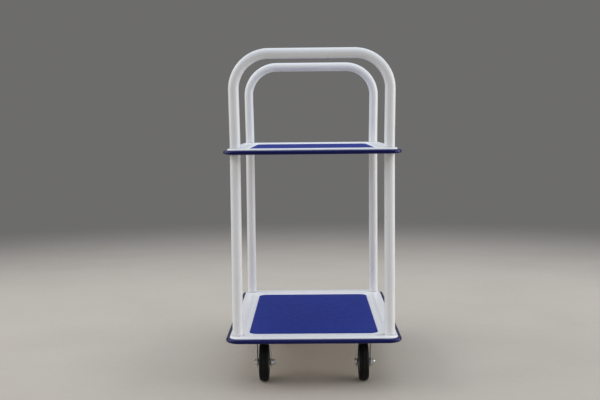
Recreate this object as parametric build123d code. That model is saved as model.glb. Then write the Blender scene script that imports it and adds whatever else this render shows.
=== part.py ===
from build123d import *
import math
import os

os.makedirs("parts", exist_ok=True)

# Two tier platform trolley. Millimetres, +Z up, the floor is Z = 0.
# -Y is the front end (rigid castors), +Y the rear end (swivel castors), +X the right.

# ---------------------------------------------------------------- driving dimensions
DECK_W = 480.0            # over the bumper strips, along X
DECK_L = 740.0            # over the bumper strips, along Y
DECK_R = 40.0             # corner radius over the bumper
Z_LOWER = 149.0           # rim crest of the lower deck
Z_UPPER = 658.8           # rim crest of the upper shelf

SHEET = 1.2               # deck sheet thickness
WALL_IN = 10.5            # from the bumper's outer face to the pan's wall
ROLL_R = 5.0              # rolled outer edge of the rim
FLANGE_IN = 2.7           # from the bumper's outer face to the edge flange's lip
FLANGE_Z = -9.0           # top of the edge flange, from the crest
RECESS_HX = 203.0         # half width of the recess at the crest
RECESS_HY = 328.0         # half length of the recess at the crest
RECESS_R = 42.0           # its corner radius at the crest
RECESS_D = 7.0            # its depth, with walls at 45 degrees

MAT_W, MAT_L, MAT_T, MAT_R = 359.0, 579.0, 2.5, 24.0
MAT_Y = 8.0               # the mats lie a little towards the rear
STRIP_TOP, STRIP_R = -4.3, 5.85   # bumper strip: top of its half-round nose, from the crest, and the nose's radius

TUBE_R = 14.3             # handle tube, outside
TUBE_T = 1.5
POST_X = 207.4            # handle legs at the decks
POST_Y = 326.3
TUBE_END_Z = 137.5        # lower end of the handle legs
KNEE_Z = 672.0            # the legs lean outwards above this
TOP_X = 211.4             # leg line meets the top bar's line here
TOP_Z = 911.4             # centre line of the top bar
BEND_R = 95.0
KNEE_R = 2800.0

SOCKET_R = 16.9           # foot sockets and shelf collars, outside
SOCKET_BORE = 14.6
COLLAR_BORE = 14.5
SOCKET_BOTTOM = 135.5
COLLAR_H = 12.0
SCREW_Z = 651.4           # collar screws

CASTOR_X = 140.0
FRONT_Y = -245.0          # rigid castors
PIVOT_Y = 235.0           # swivel castors' king pins
TRAIL = 33.0
WHEEL_R = 53.5
TREAD_W = 27.0
PLATE_Z = 126.0           # underside of the castor plates
PLATE_T = 2.5
PLATE_X, PLATE_Y = 64.0, 92.0
BOLT_X, BOLT_Y = 22.5, 36.5
FORK_IN = 18.5            # half gap between the fork legs
FORK_T = 2.5
FORK_BOSS = 4.0           # axle boss on the inner face of each fork leg
EYE_R = 15.0              # rounded end of a fork leg
AXLE_R = 4.95
SLEEVE_BORE, SLEEVE_R = 5.1, 8.0
BUSH_BORE, BUSH_R = 8.05, 10.5

CHANNEL_T = 1.6
CHANNEL_W = 100.0
CHANNEL_FLANGE = 15.0
CHANNEL_HX = 188.0

ENDS = (("front", -1), ("rear", 1))
SIDES = (("left", -1), ("right", 1))


# ---------------------------------------------------------------- helpers
def save(shape, name):
    export_step(shape, f"parts/{name}.step")


def solids_of(shape):
    return list(shape.solids())


def group(shapes):
    out = []
    for s in shapes:
        out.extend(solids_of(s))
    return Compound(out)


def rr_prism(hx, hy, r, z0, z1):
    return extrude(Plane.XY.offset(z0) * RectangleRounded(2 * hx, 2 * hy, r), amount=z1 - z0)


def rr_frustum(hx0, hy0, r0, z0, hx1, hy1, r1, z1):
    a = Plane.XY.offset(z0) * RectangleRounded(2 * hx0, 2 * hy0, r0)
    b = Plane.XY.offset(z1) * RectangleRounded(2 * hx1, 2 * hy1, r1)
    return loft([a, b], ruled=True)


def outline(part, z, hx, hy, r):
    """Edges of one rounded-rectangle outline at height z."""
    found = ShapeList()
    for e in part.edges():
        bb = e.bounding_box()
        if abs(bb.min.Z - z) > 0.01 or abs(bb.max.Z - z) > 0.01:
            continue
        if e.geom_type == GeomType.LINE:
            c = e.center()
            if abs(abs(c.X) - hx) < 0.05 or abs(abs(c.Y) - hy) < 0.05:
                found.append(e)
        elif e.geom_type == GeomType.CIRCLE and abs(e.radius - r) < 0.05:
            found.append(e)
    return found


def cyl(r, z0, z1, x=0.0, y=0.0):
    return Pos(x, y, z0) * Cylinder(r, z1 - z0, align=(Align.CENTER, Align.CENTER, Align.MIN))


def cyl_x(r, x0, x1, y=0.0, z=0.0):
    return Pos(x0, y, z) * Rot(0, 90, 0) * Cylinder(r, x1 - x0, align=(Align.CENTER, Align.CENTER, Align.MIN))


def hex_z(flats, z0, z1, x=0.0, y=0.0):
    return Pos(x, y, z0) * extrude(RegularPolygon(flats / 2, 6, major_radius=False), amount=z1 - z0)


def hex_x(flats, x0, x1, y=0.0, z=0.0):
    return Pos(x0, y, z) * Rot(0, 90, 0) * extrude(RegularPolygon(flats / 2, 6, major_radius=False), amount=x1 - x0)


def spin_x(points):
    """Solid of revolution about the X axis from (x, r) points."""
    wire = Polyline(*[(x, r) for x, r in points], close=True)
    return revolve(make_face(wire), axis=Axis.X, revolution_arc=360)


def spin_z(points):
    """Solid of revolution about the Z axis from (r, z) points."""
    wire = Polyline(*[(r, 0, z) for r, z in points], close=True)
    return revolve(make_face(wire), axis=Axis.Z, revolution_arc=360)


# ---------------------------------------------------------------- deck pan (crest at Z = 0)
def deck_pan():
    hx, hy = DECK_W / 2 - WALL_IN, DECK_L / 2 - WALL_IN
    r = DECK_R - WALL_IN
    body = rr_prism(hx, hy, r, FLANGE_Z - SHEET, 0)
    body = fillet(outline(body, 0, hx, hy, r), ROLL_R)
    fx, fy = DECK_W / 2 - FLANGE_IN, DECK_L / 2 - FLANGE_IN
    body += rr_prism(fx, fy, DECK_R - FLANGE_IN, FLANGE_Z - SHEET, FLANGE_Z)

    hollow = rr_prism(hx - SHEET, hy - SHEET, r - SHEET, FLANGE_Z - SHEET - 1, -SHEET)
    hollow = fillet(outline(hollow, -SHEET, hx - SHEET, hy - SHEET, r - SHEET), ROLL_R - SHEET)

    d = RECESS_D
    recess = rr_frustum(RECESS_HX + 1, RECESS_HY + 1, RECESS_R + 1, 1,
                        RECESS_HX - d, RECESS_HY - d, RECESS_R - d, -d)
    k = SHEET * math.sqrt(2)
    dd = d + SHEET
    shell = rr_frustum(RECESS_HX + k + 1, RECESS_HY + k + 1, RECESS_R + k + 1, 1,
                       RECESS_HX + k - dd, RECESS_HY + k - dd, RECESS_R + k - dd, -dd)
    pan = body - (hollow - shell) - recess

    # pressed radii of the recess, above and below the sheet
    pan = fillet(outline(pan, 0, RECESS_HX, RECESS_HY, RECESS_R), 4.0)
    pan = fillet(outline(pan, -d, RECESS_HX - d, RECESS_HY - d, RECESS_R - d), 4.0)
    lo = k - SHEET
    pan = fillet(outline(pan, -SHEET, RECESS_HX + lo, RECESS_HY + lo, RECESS_R + lo), 2.8)
    hi = k - dd
    pan = fillet(outline(pan, -dd, RECESS_HX + hi, RECESS_HY + hi, RECESS_R + hi), 5.2)

    # clearance holes for the handle legs
    for _, sy in ENDS:
        for _, sx in SIDES:
            pan -= cyl(TUBE_R + 0.35, -20, 5, sx * POST_X, sy * POST_Y)
    return pan


pan = deck_pan()
save(Pos(0, 0, Z_LOWER) * pan, "lower_deck_pan")
save(Pos(0, 0, Z_UPPER) * pan, "upper_shelf_pan")


# ---------------------------------------------------------------- mats
mat = rr_prism(MAT_W / 2, MAT_L / 2, MAT_R, -RECESS_D, -RECESS_D + MAT_T)
mat = fillet(outline(mat, -RECESS_D + MAT_T, MAT_W / 2, MAT_L / 2, MAT_R), 0.8)
save(Pos(0, MAT_Y, Z_LOWER) * mat, "lower_deck_mat")
save(Pos(0, MAT_Y, Z_UPPER) * mat, "upper_shelf_mat")


# ---------------------------------------------------------------- bumper strip (crest at Z = 0)
def bumper_face(origin, inward):
    plane = Plane(origin=origin, x_dir=inward, z_dir=Vector(*inward).cross(Vector(0, 0, 1)))
    lip = WALL_IN - 0.1
    slot0, slot1 = FLANGE_Z - SHEET - 0.1, FLANGE_Z + 0.1
    top, nose, low = STRIP_TOP, STRIP_TOP - STRIP_R, STRIP_TOP - 2 * STRIP_R
    wire = (
        Polyline((lip, top + 0.3), (STRIP_R, top))
        + ThreePointArc((STRIP_R, top), (0, nose), (STRIP_R, low))
        + Polyline((STRIP_R, low), (14.5, low), (14.5, slot0), (FLANGE_IN - 0.2, slot0),
                   (FLANGE_IN - 0.2, slot1), (lip, slot1), (lip, top + 0.3))
    )
    return plane * make_face(wire)


def bumper_strip():
    hx, hy, r = DECK_W / 2, DECK_L / 2, DECK_R
    runs = [
        ((-hx + r, -hy, 0), (0, 1, 0), 2 * (hx - r), (hx - r, -hy + r)),
        ((hx, -hy + r, 0), (-1, 0, 0), 2 * (hy - r), (hx - r, hy - r)),
        ((hx - r, hy, 0), (0, -1, 0), 2 * (hx - r), (-hx + r, hy - r)),
        ((-hx, hy - r, 0), (1, 0, 0), 2 * (hy - r), (-hx + r, -hy + r)),
    ]
    pieces = []
    for origin, inward, length, (cx, cy) in runs:
        face = bumper_face(origin, inward)
        along = Vector(*inward).cross(Vector(0, 0, 1))
        pieces.append(extrude(face, amount=length, dir=along))
        end = Pos(*(along * length)) * face
        pieces.append(revolve(end, axis=Axis((cx, cy, 0), (0, 0, 1)), revolution_arc=90))
    ring = pieces[0]
    for p in pieces[1:]:
        ring += p
    # butt joint of the strip, in the middle of the rear edge
    ring -= Pos(0, hy - 10, -10) * Box(0.5, 40, 20)
    return ring


bumper = bumper_strip()
save(Pos(0, 0, Z_LOWER) * bumper, "lower_deck_bumper")
save(Pos(0, 0, Z_UPPER) * bumper, "upper_shelf_bumper")


# ---------------------------------------------------------------- stiffening channels
def top_hat(width, depth, flange, t, length):
    """Hat section along X with its flanges' top at Z = 0, open upwards."""
    w = width / 2
    pts = [(-w - flange, 0), (-w + t, 0), (-w + t, -depth + t), (w - t, -depth + t), (w - t, 0),
           (w + flange, 0), (w + flange, -t), (w, -t), (w, -depth), (-w, -depth), (-w, -t), (-w - flange, -t)]
    face = make_face(Polyline(*pts, close=True))
    for spots, radius in ((((w, -depth), (w - t, 0)), 1.2 + t), (((w, -t), (w - t, -depth + t)), 1.2)):
        corners = ShapeList(v for v in face.vertices()
                            if any(abs(abs(v.X) - a) + abs(v.Y - b) < 1e-4 for a, b in spots))
        face = fillet(corners, radius)
    return extrude(Plane.YZ.offset(-length / 2) * face, amount=length)


FLOOR_UNDER = Z_LOWER - RECESS_D - SHEET
CHANNEL_D = FLOOR_UNDER - (PLATE_Z + PLATE_T)
BOLT_SPOTS = [(bx, by) for bx in (-BOLT_X, BOLT_X) for by in (-BOLT_Y, BOLT_Y)]

for name, _ in ENDS:
    y = FRONT_Y if name == "front" else PIVOT_Y
    ch = Pos(0, y, FLOOR_UNDER) * top_hat(CHANNEL_W, CHANNEL_D, CHANNEL_FLANGE, CHANNEL_T, 2 * CHANNEL_HX)
    for _, sx in SIDES:
        for bx, by in BOLT_SPOTS:
            ch -= cyl(4.3, PLATE_Z, PLATE_Z + 8, sx * CASTOR_X + bx, y + by)
    save(ch, f"{name}_caster_channel")

spine_y0 = FRONT_Y + CHANNEL_W / 2 + CHANNEL_FLANGE + 2
spine_y1 = PIVOT_Y - CHANNEL_W / 2 - CHANNEL_FLANGE - 2
spine = Rot(0, 0, 90) * top_hat(70, 10.5, 14, 1.2, spine_y1 - spine_y0)
save(Pos(0, (spine_y0 + spine_y1) / 2, FLOOR_UNDER) * spine, "lower_deck_spine")

SHELF_UNDER = Z_UPPER - RECESS_D - SHEET
for name, sy in ENDS:
    rib = top_hat(60, 8.0, 12, 1.2, 2 * CHANNEL_HX)
    save(Pos(0, sy * 150, SHELF_UNDER) * rib, f"upper_shelf_{name}_stiffener")


# ---------------------------------------------------------------- handles
for name, sy in ENDS:
    y = sy * POST_Y
    path = FilletPolyline(
        (-POST_X, y, TUBE_END_Z), (-POST_X, y, KNEE_Z), (-TOP_X, y, TOP_Z),
        (TOP_X, y, TOP_Z), (POST_X, y, KNEE_Z), (POST_X, y, TUBE_END_Z),
        radius=[KNEE_R, BEND_R, BEND_R, KNEE_R],
    )
    ring = Plane(origin=(-POST_X, y, TUBE_END_Z), z_dir=(0, 0, 1)) * (Circle(TUBE_R) - Circle(TUBE_R - TUBE_T))
    tube = sweep(ring, path=path)
    section = math.pi * (TUBE_R**2 - (TUBE_R - TUBE_T) ** 2)
    print(name, "handle tube volume", round(tube.volume), "section x length", round(section * path.length))
    # one screw hole in the inner wall of each leg, at the shelf collar
    tube -= cyl_x(2.6, -POST_X + 5, -POST_X + 25, y, SCREW_Z)
    tube -= cyl_x(2.6, POST_X - 25, POST_X - 5, y, SCREW_Z)
    save(tube, f"{name}_handle_tube")

plugs, foot_bolts, foot_washers, collar_screws = [], [], [], []
for name, sy in ENDS:
    for side, sx in SIDES:
        x, y = sx * POST_X, sy * POST_Y
        # foot socket: a cup under the lower rim that takes the tube's end
        top = Z_LOWER - SHEET
        cup = cyl(SOCKET_R, SOCKET_BOTTOM, top) - cyl(SOCKET_BORE, TUBE_END_Z, top + 1) - cyl(4.4, 100, 140)
        cup = fillet(cup.edges().filter_by(GeomType.CIRCLE).filter_by_position(Axis.Z, SOCKET_BOTTOM - 0.1, SOCKET_BOTTOM + 0.1).sort_by(SortBy.RADIUS)[-1:], 1.5)
        save(Pos(x, y, 0) * cup, f"foot_socket_{name}_{side}")
        # threaded plug in the tube's end
        plug = cyl(TUBE_R - TUBE_T - 0.01, TUBE_END_Z + 0.5, TUBE_END_Z + 15.5) - cyl(4.05, 100, 200)
        plugs.append(Pos(x, y, 0) * chamfer(plug.edges().filter_by(GeomType.CIRCLE).sort_by(SortBy.RADIUS)[-2:], 0.6))
        # bolt and washer from below
        foot_washers.append(cyl(8.0, SOCKET_BOTTOM - 1.6, SOCKET_BOTTOM, x, y) - cyl(4.2, 100, 140, x, y))
        head0 = SOCKET_BOTTOM - 1.6 - 5.3
        head = hex_z(13.0, head0, SOCKET_BOTTOM - 1.6) & spin_z(
            [(0, head0), (6.1, head0), (7.6, head0 + 0.9), (8.5, SOCKET_BOTTOM - 1.6), (0, SOCKET_BOTTOM - 1.6)])
        foot_bolts.append(Pos(x, y, 0) * (head + cyl(3.95, SOCKET_BOTTOM - 1.7, TUBE_END_Z + 13)))
        # shelf collar: a ring under the upper rim, screwed to the leg
        c1 = Z_UPPER - SHEET
        collar = cyl(SOCKET_R, c1 - COLLAR_H, c1) - cyl(COLLAR_BORE, c1 - COLLAR_H - 1, c1 + 1)
        collar -= cyl_x(2.6, 10, 20, 0, SCREW_Z) if sx < 0 else cyl_x(2.6, -20, -10, 0, SCREW_Z)
        save(Pos(x, y, 0) * collar, f"shelf_collar_{name}_{side}")
        # screw: hex head on the inner side, point through the tube wall
        face = SOCKET_R
        shank = cyl_x(2.45, 7.0, face + 0.6)
        shead = (hex_x(8.0, face + 0.1, face + 3.9) & spin_x(
            [(face + 0.1, 0), (face + 0.1, 6), (face + 3.3, 4.7), (face + 3.9, 3.8), (face + 3.9, 0)])) + cyl_x(5.3, face + 0.1, face + 1.1)
        screw = shank + shead
        screw = screw if sx < 0 else Rot(0, 0, 180) * screw
        collar_screws.append(Pos(x, y, SCREW_Z) * screw)
save(group(plugs), "handle_foot_plugs")
save(group(foot_bolts), "handle_foot_bolts")
save(group(foot_washers), "handle_foot_washers")
save(group(collar_screws), "shelf_collar_screws")


# ---------------------------------------------------------------- castors
def tangent_point(p, c, r, side):
    """Point where the line from p touches the circle (c, r); side is +1 or -1."""
    dx, dy = c[0] - p[0], c[1] - p[1]
    dist = math.hypot(dx, dy)
    a = math.atan2(dy, dx)
    b = math.asin(r / dist)
    run = math.sqrt(dist * dist - r * r)
    t = a + side * b
    return p[0] + run * math.cos(t), p[1] + run * math.sin(t)


def fork_leg(y0, y1, z_top, eye_y):
    """One fork leg in the YZ plane, from the top edge y0..y1 to the axle eye, FORK_T thick from X = 0."""
    eye = (eye_y, WHEEL_R)
    z_low = z_top - 8
    a = tangent_point((y1, z_low), eye, EYE_R, 1)
    b = tangent_point((y0, z_low), eye, EYE_R, -1)
    face = make_face(Polyline((y0, z_top), (y1, z_top), (y1, z_low), a, eye, b, (y0, z_low), close=True))
    face = face + Pos(*eye) * Circle(EYE_R)
    leg = extrude(Plane.YZ * face, amount=FORK_T)
    rim = ShapeList(e for e in leg.edges()
                    if abs(e.bounding_box().size.X) < 0.01 and e.center().Z < z_top - 0.1)
    return fillet(rim, 0.7)


def bead(y, z0, z1, lean):
    """Pressed bead in a leg: a long rounded panel, as a sketch in the YZ plane."""
    return Plane.YZ * (Pos(y, (z0 + z1) / 2) * Rot(0, 0, 90 + lean) * SlotOverall(z1 - z0, 11.0))


def legs(y0, y1, z_top, eye_y, bead_y, bead_z0, bead_z1, lean):
    out = None
    for s in (-1, 1):
        leg = fork_leg(y0, y1, z_top, eye_y)
        panel = bead(bead_y, bead_z0, bead_z1, lean)
        if s > 0:
            leg = Pos(FORK_IN, 0, 0) * leg
            leg += Pos(FORK_IN + FORK_T, 0, 0) * extrude(panel, amount=0.9, taper=35)
            leg -= Pos(FORK_IN, 0, 0) * extrude(panel, amount=0.9, taper=35)
        else:
            leg = Pos(-FORK_IN - FORK_T, 0, 0) * leg
            leg += Pos(-FORK_IN - FORK_T, 0, 0) * extrude(panel, amount=-0.9, taper=35)
            leg -= Pos(-FORK_IN, 0, 0) * extrude(panel, amount=-0.9, taper=35)
        # axle boss, which keeps the wheel in the middle of the fork
        tip = FORK_IN - FORK_BOSS
        boss = spin_x([(tip, 0), (tip, 8.2), (tip + 0.8, 9.0), (FORK_IN + 0.5, 9.6), (FORK_IN + 0.5, 0)])
        leg += Pos(0, eye_y, WHEEL_R) * (boss if s > 0 else Rot(0, 0, 180) * boss)
        out = leg if out is None else out + leg
    return out


def top_plate():
    plate = rr_prism(PLATE_X / 2, PLATE_Y / 2, 9.0, PLATE_Z, PLATE_Z + PLATE_T)
    plate = fillet(outline(plate, PLATE_Z, PLATE_X / 2, PLATE_Y / 2, 9.0), 0.7)
    for bx, by in BOLT_SPOTS:
        plate -= cyl(4.3, PLATE_Z - 1, PLATE_Z + 5, bx, by)
    return plate


def rigid_fork():
    fork = top_plate() + legs(-25, 25, PLATE_Z + 0.5, 0, 0, 70, 117, 0)
    seam = ShapeList(
        e for e in fork.edges().filter_by_position(Axis.Z, PLATE_Z - 0.01, PLATE_Z + 0.01)
        if abs(e.center().Y) < 26 and abs(abs(e.center().X) - FORK_IN - FORK_T / 2) < 2
    )
    fork = fillet(seam, 2.5)
    return fork - cyl_x(5.2, -40, 40, 0, WHEEL_R)


# swivel bearing levels
RACE_R, BALL_R, BALL_Z, BALLS = 21.0, 3.0, 121.4, 20
RACE2_R, BALL2_R, BALL2_Z, BALLS2 = 11.5, 2.5, 115.4, 13
CROWN_R, CROWN_T, CROWN_TOP = 29.0, 3.2, 119.8
PIN_R = 5.5


def groove(r, tube, z):
    return Pos(0, 0, z) * Torus(r, tube)


def swivel_plate():
    ring = cyl(28.5, PLATE_Z - 3.0, PLATE_Z + 0.5) - cyl(13.0, PLATE_Z - 4, PLATE_Z + 0.2)
    plate = top_plate() + ring
    plate -= groove(RACE_R, BALL_R + 0.05, BALL_Z)
    plate -= spin_z([(0, PLATE_Z - 1), (PIN_R + 0.02, PLATE_Z - 1), (PIN_R + 0.02, PLATE_Z), (8.05, PLATE_Z + PLATE_T), (8.05, PLATE_Z + PLATE_T + 1), (0, PLATE_Z + PLATE_T + 1)])
    return plate


def king_pin():
    return spin_z([(0, 106.6), (6.0, 106.6), (8.6, 107.6), (9.6, 109.0), (9.6, 110.0), (PIN_R, 110.0),
                   (PIN_R, PLATE_Z), (8.0, PLATE_Z + PLATE_T), (0, PLATE_Z + PLATE_T)])


def lower_race():
    race = spin_z([(PIN_R + 0.02, 110.0), (14.6, 110.0), (16.5, 112.0), (16.5, 114.0), (PIN_R + 0.02, 114.0)])
    return race - groove(RACE2_R, BALL2_R + 0.05, BALL2_Z)


def swivel_fork():
    crown = spin_z([(6.3, CROWN_TOP - CROWN_T), (CROWN_R - 2.6, CROWN_TOP - CROWN_T), (CROWN_R - 2.6, 112.4), (CROWN_R, 112.4),
                    (CROWN_R, CROWN_TOP - 1.2), (CROWN_R - 1.2, CROWN_TOP), (6.3, CROWN_TOP)])
    fork = crown + legs(-20, 22, CROWN_TOP - 1.5, TRAIL, 14, 70, 112, 18)
    fork -= groove(RACE_R, BALL_R + 0.3, BALL_Z)
    fork -= groove(RACE2_R, BALL2_R + 0.3, BALL2_Z)
    return fork - cyl_x(5.2, -40, 40, TRAIL, WHEEL_R)


def axle_bolt():
    x0 = -FORK_IN - FORK_T
    head = hex_x(16.0, x0 - 6.4, x0) & spin_x([(x0 - 6.4, 0), (x0 - 6.4, 7.5), (x0 - 5.4, 9.3), (x0, 10.5), (x0, 0)])
    end = -x0 + 11.8
    shank = spin_x([(x0 - 0.5, 0), (x0 - 0.5, AXLE_R), (end - 1.2, AXLE_R), (end, AXLE_R - 1.2), (end, 0)])
    return head + shank


def axle_nut():
    x0 = FORK_IN + FORK_T
    nut = hex_x(16.0, x0, x0 + 7.4) & spin_x([(x0, 0), (x0, 10.5), (x0 + 6.6, 9.2), (x0 + 7.4, 7.6), (x0 + 7.4, 0)])
    nut += spin_x([(x0 + 7.0, 0), (x0 + 7.0, 7.5), (x0 + 9.0, 7.5), (x0 + 9.9, 6.6), (x0 + 9.9, 0)])
    return nut - cyl_x(AXLE_R + 0.05, x0 - 1, x0 + 20)


def axle_sleeve():
    half = FORK_IN - FORK_BOSS
    return cyl_x(SLEEVE_R, -half, half) - cyl_x(SLEEVE_BORE, -half - 1, half + 1)


def tyre():
    w = TREAD_W / 2
    R = WHEEL_R
    prof = (
        Polyline((-11.0, 35.0), (11.0, 35.0), (w - 1.5, 36.2), (w - 1.5, 37.4), (w - 1.0, 38.0), (w - 0.7, 40.6),
                 (w - 0.15, 41.0), (w - 0.15, 41.9), (w - 0.6, 42.3), (w - 0.35, 43.6), (w, 44.5))
        + ThreePointArc((w, 44.5), (w - 1.6, R - 3.6), (w - 4.6, R - 1.3))
        + Polyline((w - 4.6, R - 1.3), (5.2, R - 0.35), (4.8, R - 1.5), (3.8, R - 1.5), (3.4, R - 0.12),
                   (0, R), (-3.4, R - 0.12), (-3.8, R - 1.5), (-4.8, R - 1.5), (-5.2, R - 0.35), (-w + 4.6, R - 1.3))
        + ThreePointArc((-w + 4.6, R - 1.3), (-w + 1.6, R - 3.6), (-w, 44.5))
        + Polyline((-w, 44.5), (-w + 0.35, 43.6), (-w + 0.6, 42.3), (-w + 0.15, 41.9), (-w + 0.15, 41.0),
                   (-w + 0.7, 40.6), (-w + 1.0, 38.0), (-w + 1.5, 37.4), (-w + 1.5, 36.2), (-11.0, 35.0))
    )
    return revolve(make_face(prof), axis=Axis.X, revolution_arc=360)


def hub():
    body = spin_x([(-11, 34.98), (11, 34.98), (11, 31.2), (2.6, 30.0), (2.6, 16.0), (13.2, 14.6), (13.2, BUSH_R),
                   (-13.2, BUSH_R), (-13.2, 14.6), (-2.6, 16.0), (-2.6, 30.0), (-11, 31.2)])
    ribs = None
    for i in range(8):
        rib = Rot(45 * i, 0, 0) * (Pos(0, 0, 23.0) * Box(16.0, 2.4, 17.0))
        ribs = rib if ribs is None else ribs + rib
    ring = spin_x([(-8, 31.0), (8, 31.0), (8, 15.0), (-8, 15.0)])
    return body + (ribs & ring)


def bush():
    return cyl_x(BUSH_R - 0.01, -14.0, 14.0) - cyl_x(BUSH_BORE, -20, 20)


FORK_R = rigid_fork()
FORK_S = swivel_fork()
PLATE_S = swivel_plate()
TYRE, HUB, BUSH = tyre(), hub(), bush()
BOLT, NUT, SLEEVE = axle_bolt(), axle_nut(), axle_sleeve()

f_bolts, f_nuts, f_sleeves = [], [], []
for side, sx in SIDES:
    at = Pos(sx * CASTOR_X, FRONT_Y, 0)
    axle = Pos(sx * CASTOR_X, FRONT_Y, WHEEL_R)
    save(at * FORK_R, f"front_{side}_rigid_fork")
    f_bolts.append(axle * BOLT)
    f_nuts.append(axle * NUT)
    f_sleeves.append(axle * SLEEVE)
    save(axle * TYRE, f"front_{side}_tyre")
    save(axle * HUB, f"front_{side}_hub")
    save(axle * BUSH, f"front_{side}_bush")
save(group(f_bolts), "front_axle_bolts")
save(group(f_nuts), "front_axle_nuts")
save(group(f_sleeves), "front_axle_sleeves")

upper_balls, lower_balls = [], []
for side, sx in SIDES:
    at = Pos(sx * CASTOR_X, PIVOT_Y, 0)
    axle = Pos(sx * CASTOR_X, PIVOT_Y + TRAIL, WHEEL_R)
    save(at * PLATE_S, f"rear_{side}_swivel_plate")
    save(at * king_pin(), f"rear_{side}_king_pin")
    save(at * lower_race(), f"rear_{side}_lower_race")
    save(at * FORK_S, f"rear_{side}_swivel_fork")
    for i in range(BALLS):
        a = 2 * math.pi * i / BALLS
        upper_balls.append(at * Pos(RACE_R * math.cos(a), RACE_R * math.sin(a), BALL_Z) * Sphere(BALL_R))
    for i in range(BALLS2):
        a = 2 * math.pi * i / BALLS2
        lower_balls.append(at * Pos(RACE2_R * math.cos(a), RACE2_R * math.sin(a), BALL2_Z) * Sphere(BALL2_R))
    save(axle * BOLT, f"rear_{side}_axle_bolt")
    save(axle * NUT, f"rear_{side}_axle_nut")
    save(axle * SLEEVE, f"rear_{side}_axle_sleeve")
    save(axle * TYRE, f"rear_{side}_tyre")
    save(axle * HUB, f"rear_{side}_hub")
    save(axle * BUSH, f"rear_{side}_bush")
save(group(upper_balls), "swivel_upper_balls")
save(group(lower_balls), "swivel_lower_balls")


# ---------------------------------------------------------------- castor plate bolts and flange nuts
WEB_TOP = PLATE_Z + PLATE_T + CHANNEL_T
bolts, nuts = [], []
for y in (FRONT_Y, PIVOT_Y):
    for _, sx in SIDES:
        for bx, by in BOLT_SPOTS:
            at = Pos(sx * CASTOR_X + bx, y + by, 0)
            head = hex_z(13.0, WEB_TOP, WEB_TOP + 5.3) & spin_z(
                [(0, WEB_TOP), (8.5, WEB_TOP), (7.6, WEB_TOP + 4.4), (6.1, WEB_TOP + 5.3), (0, WEB_TOP + 5.3)])
            end = PLATE_Z - 9.3
            shank = spin_z([(0, end), (3.0, end), (3.95, end + 0.95), (3.95, WEB_TOP + 0.5), (0, WEB_TOP + 0.5)])
            bolts.append(at * (head + shank))
            n0 = PLATE_Z - 7.8
            nut = hex_z(13.0, n0, PLATE_Z) & spin_z([(0, n0), (6.1, n0), (7.6, n0 + 0.9), (8.5, PLATE_Z), (0, PLATE_Z)])
            nut += spin_z([(0, PLATE_Z - 1.9), (7.4, PLATE_Z - 1.9), (8.6, PLATE_Z - 1.0), (8.6, PLATE_Z), (0, PLATE_Z)])
            nuts.append(at * (nut - cyl(4.05, 100, 140)))
save(group(bolts), "caster_bolts")
save(group(nuts), "caster_nuts")
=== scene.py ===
import math

import bmesh
import bpy
from mathutils import Matrix, Vector, noise


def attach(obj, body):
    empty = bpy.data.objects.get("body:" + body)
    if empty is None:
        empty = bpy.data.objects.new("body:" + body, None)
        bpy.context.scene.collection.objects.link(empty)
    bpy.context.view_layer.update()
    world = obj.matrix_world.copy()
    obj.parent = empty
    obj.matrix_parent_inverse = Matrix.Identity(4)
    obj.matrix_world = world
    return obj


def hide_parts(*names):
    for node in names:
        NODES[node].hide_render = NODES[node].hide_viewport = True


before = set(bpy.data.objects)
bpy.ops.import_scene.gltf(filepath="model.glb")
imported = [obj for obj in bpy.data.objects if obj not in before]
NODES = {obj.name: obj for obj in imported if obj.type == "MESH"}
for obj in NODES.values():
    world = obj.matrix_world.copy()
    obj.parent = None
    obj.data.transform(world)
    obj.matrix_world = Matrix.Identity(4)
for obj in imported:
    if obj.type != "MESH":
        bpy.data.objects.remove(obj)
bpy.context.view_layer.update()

# Two tier platform trolley: white tube handles through two pressed decks, blue mats and
# blue edge strips, two rigid castors at the front and two swivel castors at the rear.
# Lengths here are millimetres, in the frame of the built parts, and MM takes them to metres.
MM = 0.001
SCENE = bpy.context.scene

DECK_W, DECK_L, DECK_R = 480.0, 740.0, 40.0
Z_LOWER, Z_UPPER = 149.0, 658.8
SHEET = 1.2
MAT_HX, MAT_HY, MAT_T, MAT_R = 179.5, 289.5, 2.5, 24.0
MAT_Y = 8.0
STRIP_TOP, STRIP_R = -4.3, 5.85
MAT_BASE = -7.0
TUBE_R, TUBE_T = 14.3, 1.5
POST_X, POST_Y = 207.4, 326.3
TUBE_END_Z, KNEE_Z, TOP_X, TOP_Z = 137.5, 672.0, 211.4, 911.4
BEND_R, KNEE_R = 95.0, 2800.0
SCREW_Z = 651.4
SOCKET_R = 16.9
FRONT_Y, PIVOT_Y, TRAIL, WHEEL_R, CASTOR_X = -245.0, 235.0, 33.0, 53.5, 140.0
FLOOR_UNDER = Z_LOWER - 8.2
SHELF_UNDER = Z_UPPER - 8.2


# ------------------------------------------------------------------ mesh helpers
def mesh_object(name, verts, faces):
    me = bpy.data.meshes.new(name)
    me.from_pydata([(x * MM, y * MM, z * MM) for x, y, z in verts], [], faces)
    bm = bmesh.new()
    bm.from_mesh(me)
    bmesh.ops.recalc_face_normals(bm, faces=bm.faces)
    bm.to_mesh(me)
    bm.free()
    me.update()
    ob = bpy.data.objects.new(name, me)
    SCENE.collection.objects.link(ob)
    return ob


def shade(ob, degrees=32.0):
    me = ob.data
    me.polygons.foreach_set("use_smooth", [True] * len(me.polygons))
    me.set_sharp_from_angle(angle=math.radians(degrees))
    me.update()


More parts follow.
